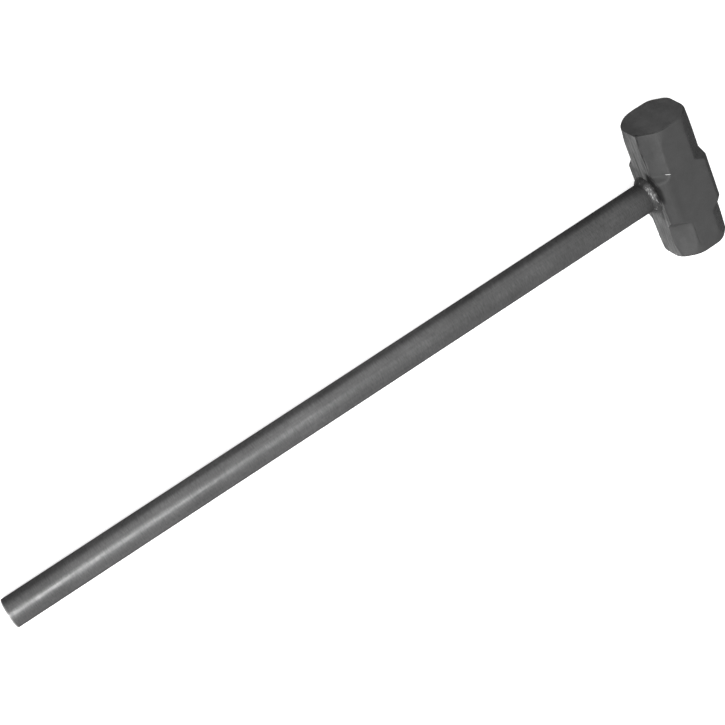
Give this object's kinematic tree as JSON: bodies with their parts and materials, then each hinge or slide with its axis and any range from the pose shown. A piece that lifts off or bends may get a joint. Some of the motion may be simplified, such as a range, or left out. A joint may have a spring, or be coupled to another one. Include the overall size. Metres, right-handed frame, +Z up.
{
  "type": "sledge hammer",
  "caption": "All-steel sledge hammer: a double-faced forged head with octagonal ends and a squarer eye block, welded to a straight round tube handle.",
  "frame": {"origin": "middle of the footprint, on the surface that the hammer lies on", "axes": "+X along the handle from the head to the butt, +Y out of the back striking face, +Z up, out of the cheek that lies uppermost; the handle slopes down 1.1 degrees to the butt"},
  "size_m": [0.8562, 0.16, 0.0661],
  "materials": {
    "head": "matte, as forged, with ground patches on the handle side",
    "tube": "satin, finely turned lines round the tube",
    "weld": "bright rippled weld bead"
  },
  "bodies": {
    "root": {"hammer_head": "head", "handle_tube": "tube", "neck_weld": "weld", "crown_weld": "weld"}
  },
  "joints": []
}
